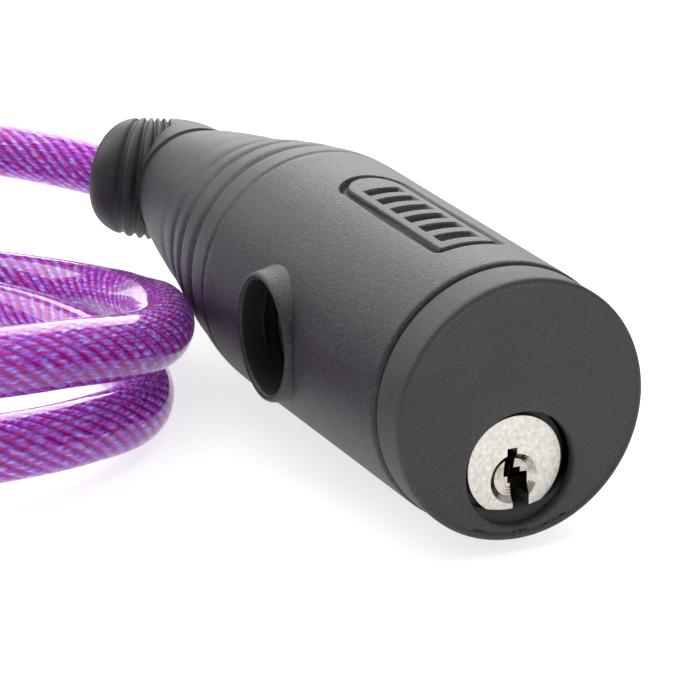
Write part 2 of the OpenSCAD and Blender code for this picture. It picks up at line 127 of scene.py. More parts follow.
class Shader:
    """A node tree under construction, with one Principled shader."""

    def __init__(self, name: str) -> None:
        """Start an empty material.

        Args:
            name: the material's name.
        """
        self.material = bpy.data.materials.new(name)
        self.material.use_nodes = True
        self.tree = self.material.node_tree
        self.body = self.tree.nodes["Principled BSDF"]
        self.place = self.add("ShaderNodeTexCoord").outputs["Object"]

    def add(self, kind: str, **settings: object) -> bpy.types.Node:
        """Add a node and set its properties or inputs.

        Args:
            kind: the node's type name.
            settings: node properties, or inputs with spaces written as underscores.

        Returns:
            The new node.
        """
        node = self.tree.nodes.new(kind)
        for key, value in settings.items():
            if hasattr(node, key):
                setattr(node, key, value)
            else:
                node.inputs[key.replace("_", " ")].default_value = value
        return node

    def link(self, source: Socket, target: Socket) -> None:
        """Join two sockets."""
        self.tree.links.new(source, target)

    def set(self, **numbers: object) -> None:
        """Set the Principled shader's own sockets.

        Args:
            numbers: values by socket name, with spaces written as underscores.
        """
        for key, value in numbers.items():
            self.body.inputs[key.replace("_", " ")].default_value = value

    def noise(self, size_mm: float, detail: float = 2.0, stretch: Point = (1, 1, 1)) -> Socket:
        """Noise whose features are about size_mm across.

        Args:
            size_mm: feature size in millimetres.
            detail: octaves of finer noise.
            stretch: how much each axis is squeezed, to draw the grain out along the others.

        Returns:
            The noise's value socket.
        """
        spread = self.add("ShaderNodeMapping")
        spread.inputs["Scale"].default_value = stretch
        self.link(self.place, spread.inputs["Vector"])
        grain = self.add("ShaderNodeTexNoise", Scale=1 / (size_mm * MM), Detail=detail)
        self.link(spread.outputs["Vector"], grain.inputs["Vector"])
        return grain.outputs["Fac"]

    def ramp(self, value: Socket, stops: Sequence[tuple[float, Sequence[float]]]) -> Socket:
        """Colour a value.

        Args:
            value: the socket to colour.
            stops: places from 0 to 1, each with a red, green and blue.

        Returns:
            The colour socket.
        """
        node = self.add("ShaderNodeValToRGB")
        band = node.color_ramp
        while len(band.elements) < len(stops):
            band.elements.new(0.5)
        for element, (place, colour) in zip(band.elements, stops):
            element.position = place
            element.color = (*colour, 1)
        self.link(value, node.inputs["Fac"])
        return node.outputs["Color"]

    def mottle(self, size_mm: float, detail: float, tones: tuple[Point, Point]) -> Socket:
        """Drift between a dark and a light tone, in patches about size_mm across."""
        return self.ramp(self.noise(size_mm, detail), [(0.3, tones[0]), (0.7, tones[1])])

    def span(self, value: Socket, low: float, high: float, start: float = 0.0, stop: float = 1.0) -> Socket:
        """Map a value onto a new range.

        Args:
            value: the socket to map.
            low: the result where the value is start.
            high: the result where the value is stop.
            start: the low end of the value's own range.
            stop: the high end of the value's own range.

        Returns:
            The mapped value's socket.
        """
        node = self.add("ShaderNodeMapRange", From_Min=start, From_Max=stop, To_Min=low, To_Max=high)
        self.link(value, node.inputs["Value"])
        return node.outputs["Result"]

    def reckon(self, operation: str, value: Socket, by: float = 0.5) -> Socket:
        """Apply a math operation to a value, with a second number where it takes one.

        Args:
            operation: the Math node's operation.
            value: the socket to work on.
            by: the second number.

        Returns:
            The result's socket.
        """
        node = self.add("ShaderNodeMath", operation=operation)
        self.link(value, node.inputs[0])
        node.inputs[1].default_value = by
        return node.outputs["Value"]

    def relief(self, height: Socket, depth_mm: float,
               under: Optional[bpy.types.Node] = None) -> bpy.types.Node:
        """Raise a surface by a height field.

        Args:
            height: the height, from 0 to 1.
            depth_mm: how far 1 stands above 0.
            under: an earlier relief that this one lies on.

        Returns:
            The relief's node.
        """
        bump = self.add("ShaderNodeBump", Distance=depth_mm * MM, Strength=1.0)
        self.link(height, bump.inputs["Height"])
        if under is not None:
            self.link(under.outputs["Normal"], bump.inputs["Normal"])
        self.link(bump.outputs["Normal"], self.body.inputs["Normal"])
        return bump


@dataclass(frozen=True)
class Moulded:
    """Moulded polymer with a spark-eroded grain, whose crests are painted as light specks in the colour: a
    painted highlight.
    """

    name: str
    tones: tuple[Point, Point]
    rough: Pair
    grain_mm: float
    depth_mm: float
    speck_highlight: float
    shine: float = 0.5
    patch_mm: float = 9.0
    crests: Pair = (0.52, 0.78)

    def build(self) -> bpy.types.Material:
        """Build the material.

        Returns:
            The material.
        """
        s = Shader(self.name)
        grain = s.noise(self.grain_mm, 3.0)
        low, high = self.crests
        # Painted highlight: the grain's crests add light specks to the base colour.
        crests = s.ramp(s.noise(self.grain_mm * 1.6, 1.0), [(low, (0, 0, 0)), (high, (self.speck_highlight,) * 3)])
        colour = s.add("ShaderNodeMix", data_type="RGBA", blend_type="ADD")
        s.link(s.mottle(self.patch_mm, 3.0, self.tones), colour.inputs[COLOUR_A])
        s.link(crests, colour.inputs[COLOUR_B])
        colour.inputs[0].default_value = 1.0
        s.link(colour.outputs[COLOUR_OUT], s.body.inputs["Base Color"])
        s.link(s.span(grain, *self.rough), s.body.inputs["Roughness"])
        s.set(Specular_IOR_Level=self.shine)
        coarse = s.relief(s.noise(self.grain_mm * 3, 2.0), self.depth_mm)
        s.relief(grain, self.depth_mm, coarse)
        return s.material


@dataclass(frozen=True)
class Worked:
    """Metal with the marks of brushing or machining."""

    name: str
    tones: tuple[Point, Point]
    rough: Pair
    brush: Point
    brush_mm: float = 0.12
    depth_mm: float = 0.004
    patch_mm: float = 3.0

    def build(self) -> bpy.types.Material:
        """Build the material.

        Returns:
            The material.
        """
        s = Shader(self.name)
        marks = s.noise(self.brush_mm, 3.0, self.brush)
        s.set(Metallic=1.0)
        s.link(s.mottle(self.patch_mm, 3.0, self.tones), s.body.inputs["Base Color"])
        s.link(s.span(marks, *self.rough), s.body.inputs["Roughness"])
        s.relief(marks, self.depth_mm)
        return s.material


@dataclass(frozen=True)
class KeyFace:
    """Brushed nickel with a turned, polished dish about a point of the face."""

    name: str = "brushed_nickel_face"
    centre: Point = (0.0, 0.0, 0.0)
    dish_mm: float = 2.9
    dish_edge_mm: Pair = (0.08, 0.04)
    turning_mm: float = 0.32
    brush_mm: float = 0.09
    brush: Point = (1, 1, 0.12)
    relief_mm: float = 0.03
    polish: float = 0.1
    rough: Pair = (0.3, 0.52)
    dish_tones: tuple[Point, Point] = ((0.36, 0.32, 0.27), (0.62, 0.58, 0.52))
    face_tones: tuple[Point, Point] = ((0.54, 0.51, 0.46), (0.76, 0.73, 0.68))

    def reach(self, s: Shader) -> Socket:
        """Distance across the face from the dish's middle.

        Args:
            s: the material's shader.

        Returns:
            The distance in millimetres.
        """
        offset = s.add("ShaderNodeVectorMath", operation="SUBTRACT")
        s.link(s.place, offset.inputs[0])
        offset.inputs[1].default_value = self.centre
        flat = s.add("ShaderNodeVectorMath", operation="MULTIPLY")
        s.link(offset.outputs["Vector"], flat.inputs[0])
        flat.inputs[1].default_value = (0, 1 / MM, 1 / MM)
        length = s.add("ShaderNodeVectorMath", operation="LENGTH")
        s.link(flat.outputs["Vector"], length.inputs[0])
        return length.outputs["Value"]

    def build(self) -> bpy.types.Material:
        """Build the material.

        Returns:
            The material.
        """
        s = Shader(self.name)
        reach = self.reach(s)
        inwards, outwards = self.dish_edge_mm
        outside = s.span(reach, 0.0, 1.0, self.dish_mm - inwards, self.dish_mm + outwards)
        brushing = s.noise(self.brush_mm, 4.0, self.brush)
        turning = s.reckon("SINE", s.reckon("MULTIPLY", reach, TAU / self.turning_mm))
        marks = s.add("ShaderNodeMix")
        s.link(outside, marks.inputs["Factor"])
        s.link(s.span(turning, 0.35, 0.5), marks.inputs[NUMBER_A])
        s.link(brushing, marks.inputs[NUMBER_B])
        rough = s.add("ShaderNodeMix")
        s.link(outside, rough.inputs["Factor"])
        rough.inputs[NUMBER_A].default_value = self.polish
        s.link(s.span(brushing, *self.rough), rough.inputs[NUMBER_B])
        s.link(rough.outputs[0], s.body.inputs["Roughness"])
        shade = s.add("ShaderNodeMix", data_type="RGBA")
        s.link(outside, shade.inputs[0])
        s.link(s.mottle(0.9, 4.0, self.dish_tones), shade.inputs[COLOUR_A])
        s.link(s.mottle(0.5, 4.0, self.face_tones), shade.inputs[COLOUR_B])
        s.link(shade.outputs[COLOUR_OUT], s.body.inputs["Base Color"])
        s.set(Metallic=1.0)
        s.relief(marks.outputs[0], self.relief_mm)
        return s.material


@dataclass(frozen=True)
class Strand:
    """Steel strand seen through violet, with painted shade in crimson in the gaps and painted highlights in
    blue-violet on the wires.
    """

    name: str = "violet_steel_strand"
    wires: int = 40
    length_mm: float = 740.0
    glint_dash_mm: float = 1.8
    wire_depth_mm: float = 0.2
    metal: float = 0.6
    rough: Pair = (0.28, 0.5)
    # Painted shade in the gaps between strands, rising to painted highlight on their crests.
    shade_and_highlight_stops: tuple[tuple[float, Point], ...] = (
        (0.0, (0.42, 0.0, 0.07)), (0.3, (0.78, 0.01, 0.24)), (0.55, (0.60, 0.05, 0.52)),
        (0.8, (0.50, 0.22, 0.95)), (1.0, (0.78, 0.66, 1.0)))

    def build(self) -> bpy.types.Material:
        """Build the material.

        Returns:
            The material, which reads the mesh's height and its UV map.
        """
        s = Shader(self.name)
        height = s.add("ShaderNodeAttribute", attribute_name="height").outputs["Fac"]
        around = s.add("ShaderNodeUVMap", uv_map="UVMap").outputs["UV"]
        split = s.add("ShaderNodeSeparateXYZ")
        s.link(around, split.inputs["Vector"])
        turn = s.reckon("MULTIPLY", split.outputs["X"], TAU * self.wires)
        wires = s.span(s.reckon("SINE", turn), 0.35, 0.65)
        # Painted glints: noise in dashes along the wires lightens the colour.
        glint_dashes = s.add("ShaderNodeMapping")
        glint_dashes.inputs["Scale"].default_value = (self.wires, self.length_mm / self.glint_dash_mm, 1)
        s.link(around, glint_dashes.inputs["Vector"])
        glints = s.add("ShaderNodeTexNoise", Scale=1.0, Detail=2.0)
        s.link(glint_dashes.outputs["Vector"], glints.inputs["Vector"])
        # Painted light: the strand's height plus the glints picks the colour, so crests come out lit and
        # gaps shaded.
        painted_light = s.add("ShaderNodeMath", operation="MULTIPLY_ADD", use_clamp=True)
        s.link(s.span(glints.outputs["Fac"], -0.6, 1.5), painted_light.inputs[0])
        painted_light.inputs[1].default_value = 0.75
        s.link(s.span(height, -0.1, 0.45), painted_light.inputs[2])
        s.link(s.ramp(painted_light.outputs["Value"], self.shade_and_highlight_stops), s.body.inputs["Base Color"])
        s.set(Metallic=self.metal)
        s.link(s.span(s.noise(0.8, 3.0), *self.rough), s.body.inputs["Roughness"])
        s.relief(wires, self.wire_depth_mm)
        return s.material


@dataclass(frozen=True)
class ClearSheath:
    """Clear soft PVC with a violet tint."""

    name: str = "clear_violet_sheath"
    tint: Point = (0.90, 0.72, 0.94)
    refraction: float = 1.42
    rough: Pair = (0.02, 0.09)
    ripple_mm: float = 5.0
    ripple_depth_mm: float = 0.03

    def build(self) -> bpy.types.Material:
        """Build the material.

        Returns:
            The material.
        """
        s = Shader(self.name)
        s.set(Base_Color=(*self.tint, 1), Transmission_Weight=1.0, IOR=self.refraction)
        s.link(s.span(s.noise(6.0, 3.0), *self.rough), s.body.inputs["Roughness"])
        s.relief(s.noise(self.ripple_mm, 2.0), self.ripple_depth_mm)
        return s.material


@dataclass
class Finishes:
    """Every finish of the lock, built once."""

    cover: bpy.types.Material = field(default_factory=Moulded(
        "textured_cover", tones=((0.007, 0.0066, 0.010), (0.011, 0.0105, 0.0145)), rough=(0.4, 0.6),
        grain_mm=0.16, depth_mm=0.06, speck_highlight=0.05).build)
    cap: bpy.types.Material = field(default_factory=Moulded(
        "fine_matte_cap", tones=((0.025, 0.025, 0.026), (0.032, 0.032, 0.033)), rough=(0.5, 0.72),
        grain_mm=0.13, depth_mm=0.03, speck_highlight=0.035).build)
    rubber: bpy.types.Material = field(default_factory=Moulded(
        "soft_boot", tones=((0.012, 0.012, 0.014), (0.017, 0.017, 0.019)), rough=(0.45, 0.6),
        grain_mm=0.3, depth_mm=0.012, speck_highlight=0.01, shine=0.45).build)
    # Black seal rubber, also used as painted shade on the socket's inner wall.
    seal: bpy.types.Material = field(default_factory=Moulded(
        "black_seal_and_painted_shade", tones=((0.006, 0.006, 0.007), (0.01, 0.01, 0.011)), rough=(0.6, 0.7),
        grain_mm=0.3, depth_mm=0.01, speck_highlight=0.0, shine=0.3).build)
    nickel: bpy.types.Material = field(default_factory=Worked(
        "plated_nickel", tones=((0.62, 0.60, 0.56), (0.78, 0.76, 0.71)), rough=(0.16, 0.3),
        brush=(1, 0.1, 1)).build)
    zinc: bpy.types.Material = field(default_factory=Worked(
        "die_cast_zinc", tones=((0.05, 0.05, 0.052), (0.09, 0.09, 0.092)), rough=(0.4, 0.62),
        brush=(1, 1, 1), brush_mm=0.5, depth_mm=0.02).build)
    steel: bpy.types.Material = field(default_factory=Worked(
        "machined_steel", tones=((0.44, 0.44, 0.45), (0.58, 0.58, 0.59)), rough=(0.24, 0.42),
        brush=(1, 0.15, 1)).build)
    # Painted shade: the brass is darkened nearly to black for the shade of the keyway that the wafers sit
    # in.
    brass: bpy.types.Material = field(default_factory=Worked(
        "shade_darkened_brass", tones=((0.05, 0.032, 0.013), (0.09, 0.06, 0.022)), rough=(0.35, 0.5),
        brush=(0.2, 1, 1)).build)
    strand: bpy.types.Material = field(default_factory=Strand().build)
    sheath: bpy.types.Material = field(default_factory=ClearSheath().build)

    def of_slot(self, slot: Slot) -> bpy.types.Material:
        """The finish of a material slot.

        Args:
            slot: the slot.

        Returns:
            Its finish.
        """
        return {Slot.COVER: self.cover, Slot.CAP: self.cap, Slot.BOOT: self.rubber, Slot.SEAL: self.seal,
                Slot.NICKEL: self.nickel, Slot.ZINC: self.zinc, Slot.STEEL: self.steel,
                Slot.BRASS: self.brass, Slot.SHEATH: self.sheath}[slot]


def skin(name: str, rings: Sequence[Ring], closed: bool = False,
         keep: Optional[Callable[[Vector], bool]] = None) -> bpy.types.Object:
    """Stretch a mesh over rings of points.

    Args:
        name: the new object's name.
        rings: rings with the same number of points each.
        closed: join the last ring to the first. Otherwise the ends get flat lids.
        keep: tells from a face's middle whether the face stays.

    Returns:
        A smooth-shaded object whose UV map runs around, then along.
    """
    around, count = len(rings[0]), len(rings)
    faces = []
    for i in range(count if closed else count - 1):
        here, there = i * around, ((i + 1) % count) * around
        for k in range(around):
            after = (k + 1) % around
            faces.append((here + k, here + after, there + after, there + k))
    points = [p for ring in rings for p in ring]
    if keep is not None:
        faces = [f for f in faces if keep(sum((points[v] for v in f), Vector()) / 4)]
    sides = len(faces)
    if not closed:
        faces += [tuple(reversed(range(around))), tuple(range((count - 1) * around, count * around))]
    mesh = bpy.data.meshes.new(name)
    mesh.from_pydata(points, [], faces)
    layer = mesh.uv_layers.new(name="UVMap")
    for polygon in mesh.polygons[:sides]:
        low = min(v % around for v in polygon.vertices)
        wraps = low == 0 and max(v % around for v in polygon.vertices) == around - 1
        for loop in polygon.loop_indices:
            v = mesh.loops[loop].vertex_index
            u = v % around
            layer.data[loop].uv = ((around if wraps and u == 0 else u) / around, v // around / count)
    mesh.shade_smooth()
    obj = bpy.data.objects.new(name, mesh)
    bpy.context.scene.collection.objects.link(obj)
    return obj


def circle(centre: Vector, u: Vector, v: Vector, radius: float, sides: int) -> Ring:
    """A ring of points about a centre, in the plane of u and v."""
    turns = [TAU * k / sides for k in range(sides)]
    return [centre + radius * (math.cos(a) * u + math.sin(a) * v) for a in turns]


def dress(obj: bpy.types.Object, finish: bpy.types.Material) -> bpy.types.Object:
    """Give a piece its finish and its slot, ride it on the lock's body, and log it.

    Args:
        obj: the piece.
        finish: what it is finished in.

    Returns:
        The same piece.
    """
    obj.data.materials.clear()
    obj.data.materials.append(finish)
    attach(obj, "root")
    LOG.info("%s: %d faces in %s", obj.name, len(obj.data.polygons), finish.name)
    return obj


@dataclass
class Studio:
    """Camera, white ground and soft lights. Lengths are in metres."""

    eye: Point = (0.2435, -0.1073, 0.1002)
    heading: Point = (-0.8614, 0.3871, -0.3287)
    lens: float = 113.14
    nearest: float = 0.01
    aim: Point = (0, 0, 0.01)
    ground: float = 3.0
    ground_tones: Pair = (0.50, 0.53)
    ground_mottle_mm: float = 40.0
    ground_glow: float = 0.74
    sky: float = 0.5
    lamps: tuple[tuple[str, Point, float, float], ...] = (
        ("overhead_panel", (-0.05, 0.05, 0.75), 0.7, 3.2), ("back_panel", (-0.6, 0.3, 0.42), 0.6, 5.0),
        ("rear_left_panel", (-0.5, -0.34, 0.5), 0.5, 3.0))

    def build(self) -> None:
        """Make the camera, ground, sky and lamps."""
        scene = bpy.context.scene
        camera = bpy.data.objects.new("camera", bpy.data.cameras.new("camera"))
        camera.location = self.eye
        camera.rotation_euler = Vector(self.heading).to_track_quat("-Z", "Y").to_euler()
        camera.data.lens, camera.data.sensor_width = self.lens, 36
        camera.data.clip_start = self.nearest
        scene.collection.objects.link(camera)
        scene.camera = camera
        scene.view_settings.view_transform = "Standard"
        world = bpy.data.worlds.new("studio_sky")
        world.use_nodes = True
        world.node_tree.nodes["Background"].inputs["Color"].default_value = (1, 1, 1, 1)
        world.node_tree.nodes["Background"].inputs["Strength"].default_value = self.sky
        scene.world = world
        for lamp in self.lamps:
            self.lamp(*lamp)
        self.floor()

    def lamp(self, name: str, place: Point, size: float, watts: float) -> None:
        """Hang a square light that faces the barrel.

        Args:
            name: the light's name.
            place: where it hangs.
            size: the length of its side.
            watts: its power.
        """
        data = bpy.data.lights.new(name, "AREA")
        data.size, data.energy = size, watts
        obj = bpy.data.objects.new(name, data)
        obj.location = place
        obj.rotation_euler = (Vector(self.aim) - Vector(place)).to_track_quat("-Z", "Y").to_euler()
        bpy.context.scene.collection.objects.link(obj)

    def floor(self) -> None:
        """Lay the white ground."""
        half = self.ground / 2
        mesh = bpy.data.meshes.new("studio_ground")
        corners = [(-half, -half, 0), (half, -half, 0), (half, half, 0), (-half, half, 0)]
        mesh.from_pydata(corners, [], [(0, 1, 2, 3)])
        obj = bpy.data.objects.new("studio_ground", mesh)
        s = Shader("white_ground")
        stops = [(place, (tone,) * 3) for place, tone in enumerate(self.ground_tones)]
        s.link(s.ramp(s.noise(self.ground_mottle_mm), stops), s.body.inputs["Base Color"])
        s.set(Roughness=0.9, Specular_IOR_Level=0.1)
        s.set(Emission_Color=(1, 1, 1, 1), Emission_Strength=self.ground_glow)
        mesh.materials.append(s.material)
        bpy.context.scene.collection.objects.link(obj)


@dataclass
class Barrel:
    """The barrel's moulded cover, with its panel, shoulder rings and socket collar.

    In millimetres, with angles in degrees. The collar's lip gives how far each of its
    rings stands outside the socket's radius, and its distance from the barrel's axis.
    """

    axis_z: float = 16.4
    length: float = 100.0
    half_length: float = 50.0
    wall: float = 1.5
    bore_r: float = 13.7
    front: Pair = (5.7, 6.1)
    front_drop: float = 0.35
    outline: tuple[Pair, ...] = (
        (5.7, 15.16), (24, 15.62), (48, 16.24), (54, 16.38), (57, 16.2), (60.5, 15.75), (67, 14.9),
        (74, 13.5), (82, 12.3), (92, 10.7), (98, 9.4), (100, 8.8))
    grooves: tuple[Point, ...] = (
        (54.0, 0.22, 0.35), (60.5, 0.62, 0.95), (66.8, 0.62, 1.0), (72.8, 0.5, 1.1), (79.0, 0.25, 1.6))
    panel: Pair = (12.5, 42.0)
    panel_half: float = 4.4
    panel_corner: float = 1.3
    panel_line: float = 1.0
    panel_depth: float = 0.85
    bars: int = 6
    bars_start: float = 2.0
    bars_spare: float = 2.4
    panel_stations: Pair = (11.8, 43.0)
    shoulder_stations: Pair = (53.0, 80.0)
    front_stations: float = 12.0
    panel_arc: Pair = (68.0, 112.0)
    socket_x: float = 15.5
    socket_r: float = 6.9
    socket_gap: float = 0.45
    collar_sides: int = 128
    lip: tuple[Pair, ...] = (
        (2.3, 11.2), (1.7, 13.0), (1.15, 14.6), (0.95, 15.6), (0.88, 16.0), (0.72, 16.28), (0.5, 16.38),
        (0.3, 16.36), (0.12, 16.22), (0.03, 16.0), (0, 15.6), (0, 14.0), (0, 12.0), (0, 11.3),
        (0.7, 11.0), (1.6, 10.8))

    def radius(self, s: float) -> float:
        """Outer radius at a station, with its ring grooves.

        Args:
            s: the station.

        Returns:
            The radius.
        """
        cut = sum(deep * math.exp(-(((s - at) / wide) ** 2)) for at, deep, wide in self.grooves)
        edge = self.front_drop * (1 - smooth_step(*self.front, s))
        return through(self.outline, s) - cut - edge

    def panel_cut(self, s: float, y: float) -> float:
        """Depth of the panel's line and bars.

        Args:
            s: the station.
            y: the distance from the barrel's top line.

        Returns:
            How deep the surface is cut there.
        """
        low, high, half, corner = *self.panel, self.panel_half, self.panel_corner
        if s > high - half:
            away = math.hypot(s - (high - half), y) - half
        else:
            across = abs(y) - half + corner
            along = (low + high) / 2 - s - (high - low) / 2 + corner
            away = math.hypot(max(across, 0), max(along, 0)) + min(max(across, along), 0) - corner
        width = self.panel_line
        line = 1 - smooth_step(width * 0.32, width * 0.56, abs(away + width / 2))
        pitch = (high - low - half - self.bars_spare) / self.bars
        index = min(self.bars - 1, max(0, int((s - low - self.bars_start) / pitch)))
        middle = low + self.bars_start + pitch * (index + 0.5)
        bar = max(abs(s - middle) - pitch * 0.24, abs(y) - half * 0.5)
        return self.panel_depth * max(line, 1 - smooth_step(-0.1, 0.16, bar))

    def on_panel(self, s: float) -> bool:
        """Whether a station is in the panel's stretch."""
        return self.panel_stations[0] < s < self.panel_stations[1]

    def stations(self) -> list[float]:
        """Stations of the skin's rings, close together where there is detail.

        Returns:
            The stations from the front to the rear.
        """
        places, s = [], self.front[0]
        while s < self.length:
            places.append(s)
            detailed = s < self.front_stations or self.shoulder_stations[0] < s < self.shoulder_stations[1]
            s += 0.17 if self.on_panel(s) else (0.25 if detailed else 0.7)
        return places + [self.length - 0.2, self.length]

    def angles(self) -> list[float]:
        """Angles of the skin's lines about the axis, close together at the panel.

        Returns:
            The angles from 0 to 360.
        """
        places, a = [], 0.0
        while a < 360:
            places.append(a)
            a += 0.6 if self.panel_arc[0] < a < self.panel_arc[1] else 1.8
        return places

    def at(self, s: float, degrees: float, radius: float) -> Vector:
        """A point of the barrel. 90 degrees is the top and 180 the socket's side."""
        a = math.radians(degrees)
        return MM * Vector((self.half_length - s, radius * math.cos(a), self.axis_z + radius * math.sin(a)))

    def solid(self, p: Vector) -> bool:
        """Whether a face with its middle at p stays beside the socket."""
        away = math.hypot(p.x / MM - self.socket_x, p.z / MM - self.axis_z)
        return p.y > 0 or away > self.socket_r + self.socket_gap

    def cover(self, finishes: Finishes) -> bpy.types.Object:
        """Build the cover's skin, open where the socket's collar sits.

        Args:
            finishes: the lock's finishes.

        Returns:
            The skin.
        """
        rings = []
        turns = self.angles()
        for s in self.stations():
            base = self.radius(s)
            ring = []
            for a in turns:
                y = base * math.cos(math.radians(a))
                top = math.sin(math.radians(a)) > 0.5 and self.on_panel(s)
                ring.append(self.at(s, a, base - (self.panel_cut(s, y) if top else 0)))
            rings.append(ring)
        for s in (self.length - 0.1, *range(90, 0, -10), self.front[0] + 0.1):
            inner = min(self.bore_r, self.radius(s) - self.wall)
            rings.append([self.at(s, a, inner) for a in turns])
        obj = skin("barrel_cover_skin", rings, closed=True, keep=self.solid)
        dress(obj, finishes.cover)
        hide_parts("barrel_cover")
        return obj

    def collar(self, finishes: Finishes) -> bpy.types.Object:
        """Build the raised collar around the socket.

        Args:
            finishes: the lock's finishes.

        Returns:
            The collar, with the seal's black painted on its inner wall as shade.
        """
        x, z = self.socket_x, self.axis_z
        across, up = Vector((1, 0, 0)), Vector((0, 0, 1))
        rings = [circle(MM * Vector((x, -y, z)), across, up, MM * (self.socket_r + out), self.collar_sides)
                 for out, y in self.lip]
        obj = dress(skin("socket_collar", rings, closed=True), finishes.cover)
        # Painted shade: the socket's inner wall takes the black seal finish, for the shade inside the
        # socket.
        obj.data.materials.append(finishes.seal)
        corners = obj.data.vertices
        inner = MM * (self.socket_r + 0.1)
        for face in obj.data.polygons:
            reach = [math.hypot(corners[v].co.x - MM * x, corners[v].co.z - MM * z) for v in face.vertices]
            face.material_index = 1 if max(reach) < inner else 0
        return obj

    def build(self, finishes: Finishes) -> None:
        """Build the cover and its collar."""
        self.cover(finishes)
        self.collar(finishes)


@dataclass
class EndCap:
    """The key end's cap: a cup with an offset keyhole. In millimetres.

    Each ring of the profile has a station, its share of the keyhole's drop, and a radius.
    """

    front_x: float = 50.0
    axis_z: float = 16.4
    hole_drop: float = 6.7
    sides: int = 192
    profile: tuple[Point, ...] = (
        (1.4, 1.0, 6.6), (0.5, 1.0, 6.6), (0.28, 1.0, 6.64), (0.16, 1.0, 6.74), (0.12, 1.0, 6.9),
        (0.12, 0.8, 8.4), (0.12, 0.5, 10.4), (0.12, 0.2, 12.8), (0.12, 0.0, 14.0), (0.1, 0.0, 14.15),
        (0.02, 0.0, 14.26), (0.0, 0.0, 14.4), (0.04, 0.0, 14.6), (0.16, 0.0, 14.78), (0.4, 0.0, 14.88),
        (1.0, 0.0, 14.9), (3.0, 0.0, 14.9), (5.0, 0.0, 14.9), (5.3, 0.0, 14.84), (5.42, 0.0, 14.6),
        (5.45, 0.0, 13.9), (5.45, 0.0, 12.0), (1.6, 0.0, 11.8), (1.45, 0.3, 10.8), (1.42, 1.0, 7.0))

    def build(self, finishes: Finishes) -> None:
        """Build the cap from rings that run from the keyhole out and round the rim.

        Args:
            finishes: the lock's finishes.
        """
        across, up = Vector((0, 1, 0)), Vector((0, 0, 1))
        rings = []
        for s, share, radius in self.profile:
            centre = MM * Vector((self.front_x - s, 0, self.axis_z - self.hole_drop * share))
            rings.append(circle(centre, across, up, MM * radius, self.sides))
        obj = dress(skin("end_cap_shell", rings, closed=True), finishes.cap)
        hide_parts("end_cap")


